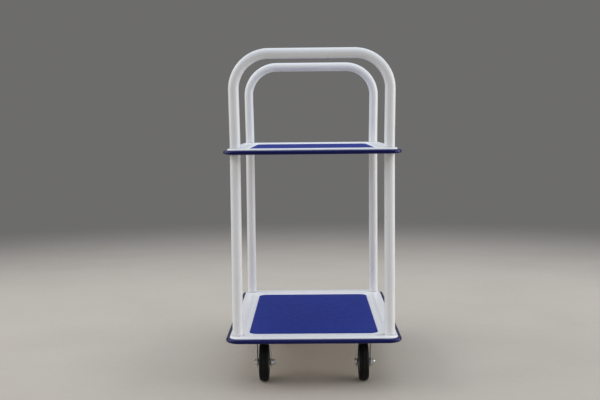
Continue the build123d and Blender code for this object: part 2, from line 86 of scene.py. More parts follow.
def loft(rings, wrap_ring=True, wrap_section=False, cap_first=False, cap_last=False):
    """Quads between rings of the same count, as (verts, faces)."""
    n = len(rings[0])
    verts = [p for r in rings for p in r]
    faces = []
    k_last = len(rings) if wrap_section else len(rings) - 1
    for k in range(k_last):
        a, b = k * n, ((k + 1) % len(rings)) * n
        for i in range(n if wrap_ring else n - 1):
            j = (i + 1) % n
            faces.append((a + i, a + j, b + j, b + i))
    if cap_first:
        faces.append(tuple(range(n)))
    if cap_last:
        base = (len(rings) - 1) * n
        faces.append(tuple(base + i for i in reversed(range(n))))
    if not wrap_ring and wrap_section:
        faces.append(tuple(k * n for k in range(len(rings))))
        faces.append(tuple(k * n + n - 1 for k in reversed(range(len(rings)))))
    return verts, faces


def arc(cx, cz, r, a0, a1, n):
    return [(cx + r * math.cos(math.radians(a0 + (a1 - a0) * i / n)),
             cz + r * math.sin(math.radians(a0 + (a1 - a0) * i / n))) for i in range(n + 1)]


def ring(hx, hy, r, z, corner=24, nx=8, ny=12, gap=0.0):
    """A rounded rectangle from the middle of the rear edge, clockwise from above."""
    ax, ay = hx - r, hy - r
    pts = [(gap + (ax - gap) * i / nx, hy) for i in range(nx)]

    def turn(cx, cy, a0):
        for i in range(corner):
            a = math.radians(a0 - 90.0 * i / corner)
            pts.append((cx + r * math.cos(a), cy + r * math.sin(a)))

    turn(ax, ay, 90)
    pts += [(hx, ay - 2 * ay * i / (2 * ny)) for i in range(2 * ny)]
    turn(ax, -ay, 0)
    pts += [(ax - 2 * ax * i / (2 * nx), -hy) for i in range(2 * nx)]
    turn(-ax, -ay, -90)
    pts += [(-hx, -ay + 2 * ay * i / (2 * ny)) for i in range(2 * ny)]
    turn(-ax, ay, 180)
    pts += [(-ax + (ax - gap) * i / nx, hy) for i in range(nx)]
    if gap:
        pts.append((-gap, hy))
    return [(x, y, z) for x, y in pts]


def cylinder_mesh(name, spots, axis="z", segments=64):
    """One mesh of closed cylinders: spots are (centre, radius, half length)."""
    verts, faces = [], []
    for (cx, cy, cz), r, h in spots:
        b = len(verts)
        for s in (-1, 1):
            for i in range(segments):
                a = 2 * math.pi * i / segments
                u, v = r * math.cos(a), r * math.sin(a)
                verts.append((cx + u, cy + v, cz + s * h) if axis == "z" else (cx + s * h, cy + u, cz + v))
        for i in range(segments):
            j = (i + 1) % segments
            faces.append((b + i, b + j, b + segments + j, b + segments + i))
        faces.append(tuple(b + i for i in reversed(range(segments))))
        faces.append(tuple(b + segments + i for i in range(segments)))
    return mesh_object(name, verts, faces)


def cut(ob, cutter):
    mod = ob.modifiers.new("cut", "BOOLEAN")
    mod.operation = "DIFFERENCE"
    mod.solver = "EXACT"
    mod.object = cutter
    bpy.context.view_layer.update()
    made = bpy.data.meshes.new_from_object(ob.evaluated_get(bpy.context.evaluated_depsgraph_get()))
    ob.modifiers.clear()
    old, ob.data = ob.data, made
    made.name = ob.name
    bpy.data.meshes.remove(old)
    old = cutter.data
    bpy.data.objects.remove(cutter)
    bpy.data.meshes.remove(old)


def settle(ob, slot, material, *nodes):
    """The piece takes its finish, rides on the frame and stands for its built nodes."""
    ob.data.materials.clear()
    ob.data.materials.append(material)
    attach(ob, "frame")
    if nodes:
        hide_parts(*nodes)
    return ob


# ------------------------------------------------------------------ material helpers
class Tree:
    """A material's node tree with a Principled shader and short ways to wire it."""

    def __init__(self, name):
        self.mat = bpy.data.materials.new(name)
        self.mat.use_nodes = True
        self.nt = self.mat.node_tree
        self.nt.nodes.clear()
        out = self.nt.nodes.new("ShaderNodeOutputMaterial")
        self.bsdf = self.nt.nodes.new("ShaderNodeBsdfPrincipled")
        self.nt.links.new(self.bsdf.outputs["BSDF"], out.inputs["Surface"])
        self.coords = self.nt.nodes.new("ShaderNodeTexCoord").outputs["Object"]

    def node(self, kind, **props):
        n = self.nt.nodes.new(kind)
        for k, v in props.items():
            setattr(n, k, v)
        return n

    def put(self, socket, value):
        if isinstance(value, bpy.types.NodeSocket):
            self.nt.links.new(value, socket)
        elif isinstance(value, (tuple, list)) and len(value) == 3 and socket.type == "RGBA":
            socket.default_value = (*value, 1.0)
        else:
            socket.default_value = value

    def set(self, **values):
        for k, v in values.items():
            self.put(self.bsdf.inputs[k.replace("_", " ")], v)

    def stretched(self, x, y, z, vec=None):
        m = self.node("ShaderNodeMapping")
        self.put(m.inputs["Vector"], vec or self.coords)
        m.inputs["Scale"].default_value = (x, y, z)
        return m.outputs["Vector"]

    def noise(self, scale, detail=2.0, rough=0.5, warp=0.0, vec=None):
        n = self.node("ShaderNodeTexNoise")
        self.put(n.inputs["Vector"], vec or self.coords)
        n.inputs["Scale"].default_value = scale
        n.inputs["Detail"].default_value = detail
        n.inputs["Roughness"].default_value = rough
        n.inputs["Distortion"].default_value = warp
        return n.outputs["Fac"]

    def cells(self, scale, feature="F1", out="Distance", vec=None):
        n = self.node("ShaderNodeTexVoronoi", feature=feature)
        self.put(n.inputs["Vector"], vec or self.coords)
        n.inputs["Scale"].default_value = scale
        return n.outputs[out]

    def remap(self, value, a, b, c=0.0, d=1.0, smooth=False):
        n = self.node("ShaderNodeMapRange", interpolation_type="SMOOTHSTEP" if smooth else "LINEAR")
        self.put(n.inputs["Value"], value)
        for k, v in zip(("From Min", "From Max", "To Min", "To Max"), (a, b, c, d)):
            n.inputs[k].default_value = v
        return n.outputs["Result"]

    def math(self, op, a, b=0.0, clamp=False):
        n = self.node("ShaderNodeMath", operation=op, use_clamp=clamp)
        self.put(n.inputs[0], a)
        self.put(n.inputs[1], b)
        return n.outputs[0]

    def mix(self, fac, a, b):
        n = self.node("ShaderNodeMix", data_type="RGBA")
        self.put(n.inputs["Factor"], fac)
        ins = [s for s in n.inputs if s.type == "RGBA"]
        self.put(ins[0], a)
        self.put(ins[1], b)
        return next(s for s in n.outputs if s.type == "RGBA")

    def split(self, vec=None):
        n = self.node("ShaderNodeSeparateXYZ")
        self.put(n.inputs[0], vec or self.coords)
        return n.outputs["X"], n.outputs["Y"], n.outputs["Z"]

    def facing_up(self):
        n = self.node("ShaderNodeNewGeometry")
        return self.split(n.outputs["Normal"])[2]

    def bump(self, height, distance, strength=1.0, normal=None):
        n = self.node("ShaderNodeBump")
        n.inputs["Strength"].default_value = strength
        n.inputs["Distance"].default_value = distance
        self.put(n.inputs["Height"], height)
        if normal is not None:
            self.put(n.inputs["Normal"], normal)
        return n.outputs["Normal"]

    def soft_edges(self, radius):
        n = self.node("ShaderNodeBevel", samples=6)
        n.inputs["Radius"].default_value = radius
        return n.outputs["Normal"]

    def length2(self, a, b):
        return self.math("SQRT", self.math("ADD", self.math("MULTIPLY", a, a), self.math("MULTIPLY", b, b)))


# ------------------------------------------------------------------ finishes
def white_paint(name, sheet=False, tube=False, edges=0.0):
    """Gloss white powder coat: faint orange peel, uneven film, a little dust on the flats, fine rubbed marks."""
    t = Tree(name)
    # one white paint in two copies: the sheet's copy is lighter and bluer and the tubes' copy is darker and warmer,
    # painted light and shade
    shades = ((0.850, 0.854, 0.861), (0.880, 0.884, 0.891)) if sheet else ((0.808, 0.806, 0.802), (0.842, 0.840, 0.837))
    colour = t.mix(t.remap(t.noise(5.0, 3.0), 0.3, 0.7), *shades)
    grime = t.remap(t.noise(62.0, 5.0, 0.62), 0.60, 0.82, 0.0, 0.07)
    colour = t.mix(grime, colour, (0.50, 0.48, 0.45))
    # thin rubbed lines, gathered in patches
    lines = t.noise(1.0, 3.0, 0.6, vec=t.stretched(70, 70, 1300) if tube else t.stretched(1300, 55, 1300))
    patch = t.remap(t.noise(9.0, 2.0), 0.54, 0.72)
    rub = t.math("MULTIPLY", t.remap(lines, 0.60, 0.76, 0.0, 0.16), patch)
    colour = t.mix(rub, colour, (0.52, 0.51, 0.50))
    up = t.remap(t.facing_up(), 0.55, 0.98)
    dust = t.math("MULTIPLY", up, t.remap(t.noise(22.0, 6.0, 0.68), 0.42, 0.80, 0.0, 0.10))
    colour = t.mix(dust, colour, (0.60, 0.57, 0.51))
    x, y, z = t.split()
    if sheet:
        # dirt and painted contact shadow: a darker ring on the deck round each handle leg
        reach = t.length2(t.math("SUBTRACT", t.math("ABSOLUTE", x), POST_X * MM),
                          t.math("SUBTRACT", t.math("ABSOLUTE", y), POST_Y * MM))
        foot = t.remap(reach, 14.8 * MM, 19.5 * MM, 0.75, 0.0, smooth=True)
        colour = t.mix(t.math("MULTIPLY", foot, t.remap(t.noise(140.0, 3.0), 0.3, 0.65)), colour, (0.27, 0.24, 0.20))
        # a dirty patch on the lower deck, between the recess's corner and the front right leg
        spot = t.length2(t.math("DIVIDE", t.math("SUBTRACT", x, 181.0 * MM), 22.0 * MM),
                         t.math("DIVIDE", t.math("SUBTRACT", y, -322.0 * MM), 26.0 * MM))
        spot = t.math("MULTIPLY", t.remap(spot, 0.55, 1.05, 0.52, 0.0, smooth=True), t.math("LESS_THAN", z, 0.4))
        spot = t.math("MULTIPLY", spot, t.remap(t.facing_up(), 0.2, 0.6))
        colour = t.mix(t.math("MULTIPLY", spot, t.remap(t.noise(150.0, 4.0), 0.22, 0.58)), colour, (0.30, 0.28, 0.24))
    if tube:
        # dirt and painted contact shadow: a darker band round the tube where it meets each deck
        for level in (Z_LOWER, Z_UPPER):
            near = t.math("ABSOLUTE", t.math("SUBTRACT", z, (level + 0.2) * MM))
            band = t.remap(near, 0.4 * MM, 2.6 * MM, 0.55, 0.0, smooth=True)
            colour = t.mix(t.math("MULTIPLY", band, t.remap(t.noise(120.0, 3.0), 0.25, 0.7)), colour, (0.33, 0.31, 0.29))
    rough = t.remap(t.noise(30.0, 4.0), 0.3, 0.7, 0.285, 0.35)
    rough = t.math("ADD", rough, t.math("MULTIPLY", dust, 0.3))
    rough = t.math("ADD", rough, t.math("MULTIPLY", rub, 0.15), clamp=True)
    base = t.soft_edges(edges) if edges else None
    if sheet:
        base = t.bump(t.noise(7.0, 1.0), 0.0008, 0.30, normal=base)
    peel = t.bump(t.noise(300.0, 1.0, 0.4), 0.00001, 0.6, normal=base)
    t.set(Base_Color=colour, Roughness=rough, Normal=peel)
    t.set(IOR=1.5)
    return t.mat


def mat_vinyl():
    """Royal blue vinyl: fine leather grain, slight shade changes, faint scuffs and a little dust."""
    t = Tree("mat_vinyl")
    colour = t.mix(t.remap(t.noise(5.0, 3.0), 0.3, 0.7), (0.0148, 0.0324, 0.270), (0.0185, 0.0390, 0.302))
    grain = t.math("ADD", t.math("MULTIPLY", t.cells(400.0, "SMOOTH_F1"), 0.75), t.math("MULTIPLY", t.cells(900.0, "SMOOTH_F1"), 0.25))
    colour = t.mix(t.remap(grain, 0.22, 0.58, 0.0, 0.62), colour, (0.011, 0.021, 0.140))
    lines = t.noise(1.0, 3.0, 0.6, vec=t.stretched(260, 24, 24))
    scuff = t.math("MULTIPLY", t.remap(lines, 0.62, 0.76, 0.0, 0.13), t.remap(t.noise(8.0, 2.0), 0.5, 0.70))
    colour = t.mix(scuff, colour, (0.13, 0.15, 0.33))
    dust = t.remap(t.noise(15.0, 6.0, 0.68), 0.50, 0.84, 0.0, 0.045)
    colour = t.mix(dust, colour, (0.20, 0.20, 0.22))
    rough = t.remap(t.noise(60.0, 4.0), 0.3, 0.7, 0.52, 0.62)
    rough = t.math("ADD", rough, t.math("MULTIPLY", scuff, 0.6))
    skin = t.bump(t.noise(10.0, 2.0), 0.0010, 0.20)
    skin = t.bump(grain, 0.00045, 0.75, normal=skin)
    t.set(Base_Color=colour, Roughness=rough, Normal=skin)
    t.set(Specular_IOR_Level=0.07)
    return t.mat


def bumper_pvc():
    """Dark blue glossy extrusion: faint die lines along its length, rubbed nose."""
    t = Tree("bumper_pvc")
    x, y, z = t.split()
    colour = t.mix(t.remap(t.noise(13.0, 3.0), 0.3, 0.7), (0.0017, 0.0021, 0.054), (0.0029, 0.0035, 0.067))
    marks = t.noise(1.0, 4.0, 0.6, vec=t.stretched(70, 70, 420))
    rub = t.math("MULTIPLY", t.remap(marks, 0.60, 0.76, 0.0, 0.14), t.remap(t.noise(14.0, 2.0), 0.52, 0.72))
    colour = t.mix(rub, colour, (0.050, 0.050, 0.13))
    dust = t.math("MULTIPLY", t.remap(t.facing_up(), 0.5, 1.0), t.remap(t.noise(34.0, 5.0), 0.40, 0.78, 0.0, 0.06))
    colour = t.mix(dust, colour, (0.20, 0.20, 0.22))
    rough = t.math("ADD", t.remap(t.noise(48.0, 4.0), 0.3, 0.7, 0.17, 0.215), t.math("MULTIPLY", rub, 0.25))
    die = t.bump(t.noise(1.0, 2.0, vec=t.stretched(6, 6, 1500)), 0.00005, 0.35)
    wave = t.bump(t.noise(28.0, 1.0), 0.0006, 0.25, normal=die)
    t.set(Base_Color=colour, Roughness=rough, Normal=wave)
    # the blue specular tint paints a bluish sky reflection into the strip's gloss
    t.set(Specular_IOR_Level=0.45, Specular_Tint=(0.40, 0.46, 1.0))
    return t.mat


def wheel_radius(t):
    """Distance from the wheel's own axle line, for front and rear wheels alike."""
    x, y, z = t.split()
    rear = t.math("GREATER_THAN", y, 0.0)
    axle = t.math("ADD", t.math("MULTIPLY", rear, (PIVOT_Y + TRAIL - FRONT_Y) * MM), FRONT_Y * MM)
    return t.length2(t.math("SUBTRACT", y, axle), t.math("SUBTRACT", z, WHEEL_R * MM))


def tyre_rubber():
    """Black moulded rubber: dusty running surface, lighter along the middle rib as wear and a painted highlight, fine
    mould grain.
    """
    t = Tree("tyre_rubber")
    r = wheel_radius(t)
    colour = t.mix(t.remap(t.noise(45.0, 3.0), 0.3, 0.7), (0.0024, 0.0024, 0.0027), (0.0036, 0.0035, 0.0037))
    run = t.remap(r, (WHEEL_R - 3.5) * MM, (WHEEL_R - 0.4) * MM, 0.0, 1.0, smooth=True)
    x, y, z = t.split()
    off = t.math("ABSOLUTE", t.math("SUBTRACT", t.math("ABSOLUTE", x), CASTOR_X * MM))
    # the tread's dust is lighter along the middle rib: partly wear, partly a painted highlight of the tread
    rib = t.remap(off, 2.6 * MM, 4.4 * MM, 1.0, 0.30, smooth=True)
    dust = t.math("MULTIPLY", t.math("MULTIPLY", run, rib), t.remap(t.noise(150.0, 6.0, 0.7), 0.40, 0.74, 0.05, 0.26))
    colour = t.mix(dust, colour, (0.050, 0.047, 0.043))
    spots = t.remap(t.noise(420.0, 3.0, 0.6), 0.62, 0.78, 0.0, 0.12)
    colour = t.mix(spots, colour, (0.04, 0.038, 0.036))
    rough = t.math("ADD", t.remap(t.noise(80.0, 4.0), 0.3, 0.7, 0.50, 0.64), t.math("MULTIPLY", dust, 0.45))
    grain = t.bump(t.noise(900.0, 3.0, 0.6), 0.00012, 0.5, normal=t.soft_edges(0.5 * MM))
    wear = t.bump(t.noise(160.0, 4.0, 0.6), 0.0004, 0.22, normal=grain)
    t.set(Base_Color=colour, Roughness=rough, Normal=wear)
    t.set(Specular_IOR_Level=0.18)
    return t.mat


def hub_plastic():
    """Grey moulded polypropylene: flow shading, fine grain, dirt in the ribs."""
    t = Tree("hub_plastic")
    r = wheel_radius(t)
    colour = t.mix(t.remap(t.noise(30.0, 3.0, warp=0.6), 0.3, 0.7), (0.225, 0.235, 0.245), (0.285, 0.292, 0.30))
    dirt = t.math("MULTIPLY", t.remap(r, 15.0 * MM, 33.0 * MM, 0.3, 1.0), t.remap(t.noise(120.0, 5.0, 0.65), 0.45, 0.75, 0.0, 0.45))
    colour = t.mix(dirt, colour, (0.10, 0.095, 0.085))
    rough = t.math("ADD", t.remap(t.noise(70.0, 3.0), 0.3, 0.7, 0.40, 0.52), t.math("MULTIPLY", dirt, 0.5))
    grain = t.bump(t.noise(1100.0, 2.0), 0.00006, 0.5, normal=t.soft_edges(0.5 * MM))
    t.set(Base_Color=colour, Roughness=rough, Normal=grain)
    return t.mat


def bush_nylon():
    """Natural nylon with a little dark grease."""
    t = Tree("bush_nylon")
    colour = t.mix(t.remap(t.noise(60.0, 3.0), 0.3, 0.7), (0.66, 0.63, 0.55), (0.73, 0.70, 0.63))
    grease = t.remap(t.noise(180.0, 4.0, 0.6), 0.52, 0.72, 0.0, 0.5)
    colour = t.mix(grease, colour, (0.16, 0.13, 0.09))
    rough = t.math("SUBTRACT", t.remap(t.noise(90.0, 3.0), 0.3, 0.7, 0.42, 0.54), t.math("MULTIPLY", grease, 0.24))
    t.set(Base_Color=colour, Roughness=rough, Normal=t.soft_edges(0.3 * MM))
    t.set(Subsurface_Weight=0.0)
    return t.mat


def zinc(name, dark, light, rough0, rough1, edge, drawn):
    """Bright zinc plate: cloudy film, faint straw and blue tint, drawing marks, dulled spots."""
    t = Tree(name)
    colour = t.mix(t.remap(t.noise(42.0, 4.0, 0.6, warp=0.4), 0.3, 0.7), dark, light)
    tint = t.mix(t.remap(t.noise(24.0, 2.0), 0.35, 0.65), (0.62, 0.64, 0.70), (0.70, 0.67, 0.58))
    colour = t.mix(0.28, colour, tint)
    dull = t.remap(t.noise(210.0, 5.0, 0.66), 0.56, 0.76, 0.0, 0.55)
    colour = t.mix(dull, colour, (0.40, 0.39, 0.37))
    rough = t.math("ADD", t.remap(t.noise(90.0, 4.0), 0.3, 0.7, rough0, rough1), t.math("MULTIPLY", dull, 0.28))
    marks = t.noise(1.0, 3.0, 0.6, vec=t.stretched(*drawn))
    skin = t.bump(marks, 0.00003, 0.35, normal=t.soft_edges(edge))
    skin = t.bump(t.noise(520.0, 3.0), 0.00003, 0.4, normal=skin)
    t.set(Base_Color=colour, Roughness=rough, Normal=skin)
    t.set(Metallic=1.0)
    return t.mat


def bearing_steel():
    """Polished balls under a film of grease."""
    t = Tree("bearing_steel")
    grease = t.remap(t.noise(260.0, 4.0, 0.6), 0.42, 0.68, 0.0, 0.6)
    colour = t.mix(grease, (0.66, 0.67, 0.69), (0.24, 0.19, 0.11))
    t.set(Base_Color=colour, Roughness=t.math("ADD", t.math("MULTIPLY", grease, 0.22), 0.12))
    t.set(Metallic=1.0)
    return t.mat


PAINT_TUBE = white_paint("white_paint_tube", tube=True)
PAINT_SHEET = white_paint("white_paint_sheet", sheet=True)
PAINT_SMALL = white_paint("white_paint_small", edges=0.6 * MM)
VINYL = mat_vinyl()
PVC = bumper_pvc()
RUBBER = tyre_rubber()
HUB = hub_plastic()
NYLON = bush_nylon()
PRESSING = zinc("zinc_pressing", (0.55, 0.56, 0.58), (0.66, 0.67, 0.68), 0.29, 0.41, 0.7 * MM, (90, 90, 900))
FASTENER = zinc("zinc_fastener", (0.58, 0.59, 0.61), (0.71, 0.715, 0.72), 0.285, 0.36, 0.35 * MM, (700, 700, 700))
STEEL = bearing_steel()

BY_SLOT = {"white_paint": PAINT_SMALL, "mat_vinyl": VINYL, "bumper_pvc": PVC, "tyre_rubber": RUBBER, "hub_plastic": HUB,
           "bush_nylon": NYLON, "zinc_pressing": PRESSING, "zinc_fastener": FASTENER, "bearing_steel": STEEL}
for node in NODES.values():
    for s in node.material_slots:
        s.material = BY_SLOT[s.material.name.split(".")[0]]


# ------------------------------------------------------------------ handle tubes
def bent_path(points, radii):
    """Centre line in X and Z through rounded corners: (x, z, tangent x, tangent z, share of bend)."""
    out = []

    def run(a, b, step=45.0):
        d = b - a
        n = max(1, math.ceil(d.length / step))
        u = d.normalized()
        for i in range(n):
            p = a + d * (i / n)
            out.append((p.x, p.y, u.x, u.y, 0.0))

    at = Vector(points[0])
    for i, radius in enumerate(radii):
        p = Vector(points[i + 1])
        d0 = (p - Vector(points[i])).normalized()
        d1 = (Vector(points[i + 2]) - p).normalized()
        turn = math.acos(max(-1.0, min(1.0, d0.dot(d1))))
        back = radius * math.tan(turn / 2)
        a, b = p - d0 * back, p + d1 * back
        run(at, a)
        side = 1.0 if d0.x * d1.y - d0.y * d1.x > 0 else -1.0
        left = Vector((-d0.y, d0.x)) * side
        centre = a + left * radius
        n = max(4, math.ceil(math.degrees(turn) / 2.0))
        for k in range(n):
            w = turn * k / n
            c, s = math.cos(w), math.sin(w)
            q = centre - left * radius * c + d0 * radius * s
            u = d0 * c + left * s
            bend = math.sin(math.pi * k / n) ** 0.6 if radius < 500 else 0.0
            out.append((q.x, q.y, u.x, u.y, bend))
        at = b
    end = Vector(points[-1])
    run(at, end)
    u = (end - at).normalized()
    out.append((end.x, end.y, u.x, u.y, 0.0))
    return out


HANDLE = bent_path(
    [(-POST_X, TUBE_END_Z), (-POST_X, KNEE_Z), (-TOP_X, TOP_Z), (TOP_X, TOP_Z), (POST_X, KNEE_Z), (POST_X, TUBE_END_Z)],
    [KNEE_R, BEND_R, BEND_R, KNEE_R])


def tube_rings(y, radius, segments=64):
    rings = []
    for x, z, tx, tz, bend in HANDLE:
        flat, wide = radius * (1 - 0.022 * bend), radius * (1 + 0.012 * bend)
        row = []
        for i in range(segments):
            a = 2 * math.pi * i / segments
            n, b = flat * math.cos(a), wide * math.sin(a)
            row.append((x - tz * n, y + b, z + tx * n))
        rings.append(row)
    return rings


def handle(name, y, node):
    outer, inner = tube_rings(y, TUBE_R), tube_rings(y, TUBE_R - TUBE_T)
    ob = mesh_object(name, *loft(outer + inner[::-1], wrap_section=True))
    cut(ob, cylinder_mesh("drill", [((s * (POST_X - 15), y, SCREW_Z), 2.6, 10) for s in (-1, 1)], axis="x", segments=24))
    shade(ob, 40)
    return settle(ob, "white_paint", PAINT_TUBE, node)


handle("front_handle", -POST_Y, "front_handle_tube")
handle("rear_handle", POST_Y, "rear_handle_tube")


# ------------------------------------------------------------------ decks
def recess(x, z):
    return ring(x, x + 125.0, x - 161.0, z)


def rim(x, z):
    return ring(x, x + 130.0, x - 200.0, z)


def deck(name, z0, node):
    rows = [recess(x, z) for x, z in [(172.0, -7.0), (190.0, -7.0), (194.0, -7.0)]
            + arc(194.343, -3, 4, -90, -45, 8) + [(197.5, -5.5), (201.5, -1.5)] + arc(204.657, -4, 4, 135, 90, 8) + [(205.1, 0)]]
    rows += [rim(x, z) for x, z in [(224.1, 0)] + arc(224.5, -5, 5, 90, 0, 14)
             + [(229.5, -5.4), (229.5, -8.7), (229.5, -9.0), (229.8, -9.0), (237.0, -9.0), (237.3, -9.0), (237.3, -10.2), (228.3, -10.2),
                (228.3, -9.9), (228.3, -5.4)] + arc(224.5, -5, 3.8, 0, 90, 10) + [(224.1, -SHEET)]]
    rows += [recess(x, z) for x, z in [(205.1, -SHEET)] + arc(204.657, -4, 2.8, 90, 135, 6) + [(202.2, -2.5), (198.0, -6.7)]
             + arc(194.343, -3, 5.2, -45, -90, 8) + [(194.0, -8.2), (190.0, -8.2), (172.0, -8.2)]]
    rows = [[(x, y, z + z0) for x, y, z in row] for row in rows]
    ob = mesh_object(name, *loft(rows, cap_first=True, cap_last=True))
    cut(ob, cylinder_mesh("punch", [((sx * POST_X, sy * POST_Y, z0), TUBE_R + 0.35, 5) for sx in (-1, 1) for sy in (-1, 1)]))
    shade(ob, 35)
    return settle(ob, "white_paint", PAINT_SHEET, node)


deck("lower_deck_sheet", Z_LOWER, "lower_deck_pan")
deck("upper_shelf_sheet", Z_UPPER, "upper_shelf_pan")


# ------------------------------------------------------------------ edge strips
def strip(name, z0, node):
    top, low = STRIP_TOP, STRIP_TOP - 2 * STRIP_R
    section = arc(9.7, top - 0.35, 0.7, 0, 78, 4)
    section += [(8.8, top + 0.24), (7.2, top + 0.08)]
    section += arc(STRIP_R, top - STRIP_R, STRIP_R, 92, 268, 38)
    section += [(7.2, low), (13.4, low)] + arc(13.8, low + 0.7, 0.7, -90, 0, 4)
    section += [(14.5, low + 1.2), (14.5, -10.6), (14.2, -10.3), (2.5, -10.3), (2.5, -8.9), (10.4, -8.9), (10.4, -8.4), (10.4, top - 0.8)]
    rows = []
    for k, (s, z) in enumerate(section):
        row = ring(DECK_W / 2 - s, DECK_L / 2 - s, DECK_R - s, z + z0, corner=26, nx=18, ny=30, gap=0.25)
        if s < 7.0:
            # the soft strip is never dead straight
            wavy = []
            for x, y, h in row:
                d = 0.16 * noise.noise(Vector((x / 55, y / 55, z0 / 100))) + 0.05 * noise.noise(Vector((x / 14, y / 14, z0 / 100)))
                n = Vector((x / DECK_W, y / DECK_L, 0)).normalized()
                wavy.append((x + n.x * d - n.x * 0.1, y + n.y * d - n.y * 0.1, h + 0.4 * d))
            row = wavy
        rows.append(row)
    ob = mesh_object(name, *loft(rows, wrap_ring=False, wrap_section=True))
    shade(ob, 38)
    return settle(ob, "bumper_pvc", PVC, node)


strip("lower_deck_edge_strip", Z_LOWER, "lower_deck_bumper")
strip("upper_shelf_edge_strip", Z_UPPER, "upper_shelf_bumper")


# ------------------------------------------------------------------ mats
def mat(name, z0, node):
    top = MAT_BASE + MAT_T
    rows = []
    steps = 26
    for k in range(1, steps + 1):
        f = (k / steps) ** 0.85
        rows.append((MAT_HX - 0.8, MAT_HY - 0.8, MAT_R - 0.8, f, top))
    shaped = []
    for hx, hy, r, f, z in rows:
        row = ring(hx * f, hy * f, r * f, z, corner=14, nx=12, ny=20)
        lift = []
        for x, y, h in row:
            edge = min(1.0, (1 - f) * 14)
            d = 0.14 * noise.noise(Vector((x / 70, y / 70, z0 / 40))) * edge
            lift.append((x, y, h + d - 0.05 * edge))
        shaped.append(lift)
    for s, z in arc(0.8, -0.8, 0.8, 90, 180, 6)[1:]:
        shaped.append(ring(MAT_HX - s, MAT_HY - s, MAT_R - s, top + z, corner=14, nx=12, ny=20))
    shaped.append(ring(MAT_HX, MAT_HY, MAT_R, MAT_BASE + 0.2, corner=14, nx=12, ny=20))
    shaped.append(ring(MAT_HX, MAT_HY, MAT_R, MAT_BASE, corner=14, nx=12, ny=20))
    shaped = [[(x, y + MAT_Y, z + z0) for x, y, z in row] for row in shaped]
    ob = mesh_object(name, *loft(shaped, cap_first=True, cap_last=True))
    shade(ob, 40)
    return settle(ob, "mat_vinyl", VINYL, node)


mat("lower_mat", Z_LOWER, "lower_deck_mat")
mat("upper_mat", Z_UPPER, "upper_shelf_mat")


# ------------------------------------------------------------------ welds
def bead_ring(verts, faces, cx, cy, r, z, leg, seed):
    """Fillet weld round a collar, under the sheet: rippled, a little uneven."""
    count, base = 144, len(verts)
    shape = [(-0.25, 0.25), (1.0, 0.2), (1.0, -0.05), (0.78, -0.30), (0.56, -0.52), (0.32, -0.76), (0.05, -1.0), (-0.25, -1.0)]
    for i in range(count):
        a = 2 * math.pi * i / count
        ripple = 1 + 0.055 * math.sin(a * 36) + 0.10 * noise.noise(Vector((math.cos(a) * 1.7, math.sin(a) * 1.7, seed)))
        for k, (u, v) in enumerate(shape):
            g = ripple if 0 < k < 7 else 1.0
            d = r + (u * leg * g if u > 0 else u)
            verts.append((cx + d * math.cos(a), cy + d * math.sin(a), z + (v * leg * g if v < 0 else v)))
    n = len(shape)
    for i in range(count):
        for k in range(n):
            a, b = base + i * n, base + ((i + 1) % count) * n
            faces.append((a + k, a + (k + 1) % n, b + (k + 1) % n, b + k))


def collar_welds(name, z):
    verts, faces = [], []
    for i, (sx, sy) in enumerate([(-1, -1), (1, -1), (-1, 1), (1, 1)]):
        bead_ring(verts, faces, sx * POST_X, sy * POST_Y, SOCKET_R, z, 2.6, i * 3.1 + z)
    ob = mesh_object(name, verts, faces)
    shade(ob, 50)
    return settle(ob, "white_paint", PAINT_SMALL)


collar_welds("foot_socket_welds", Z_LOWER - SHEET)
collar_welds("shelf_collar_welds", Z_UPPER - SHEET)


def spot_welds(name, spots):
    """Shallow crater of each spot weld, under a painted flange."""
    verts, faces = [], []
    shape = [(0.9, -0.06), (1.9, -0.10), (2.5, -0.24), (2.9, -0.28), (3.3, -0.20), (3.7, 0.06)]
    seg = 24
    for x, y, z in spots:
        base = len(verts)
        for r, d in shape:
            for i in range(seg):
                a = 2 * math.pi * i / seg
                verts.append((x + r * math.cos(a), y + r * math.sin(a), z + d))
        for k in range(len(shape) - 1):
            for i in range(seg):
                a, b, j = base + k * seg, base + (k + 1) * seg, (i + 1) % seg
                faces.append((a + i, a + j, b + j, b + i))
        faces.append(tuple(base + i for i in range(seg)))
        faces.append(tuple(base + (len(shape) - 1) * seg + i for i in reversed(range(seg))))
    ob = mesh_object(name, verts, faces)
    shade(ob, 50)
    return settle(ob, "white_paint", PAINT_SMALL)


def pitch(half, count):
    return [-half + 2 * half * i / (count - 1) for i in range(count)]


spot_welds("channel_spot_welds",
           [(x, y + s * 57.5, FLOOR_UNDER - 1.6) for y in (FRONT_Y, PIVOT_Y) for s in (-1, 1) for x in pitch(172, 8)]
           + [(s * 42.0, y - 7.5, FLOOR_UNDER - 1.2) for s in (-1, 1) for y in pitch(155, 7)])
spot_welds("shelf_spot_welds",
           [(x, sy * 150 + s * 36.0, SHELF_UNDER - 1.2) for sy in (-1, 1) for s in (-1, 1) for x in pitch(172, 8)])


# ------------------------------------------------------------------ floor, light, camera
HORIZON = (0.152, 0.150, 0.148)


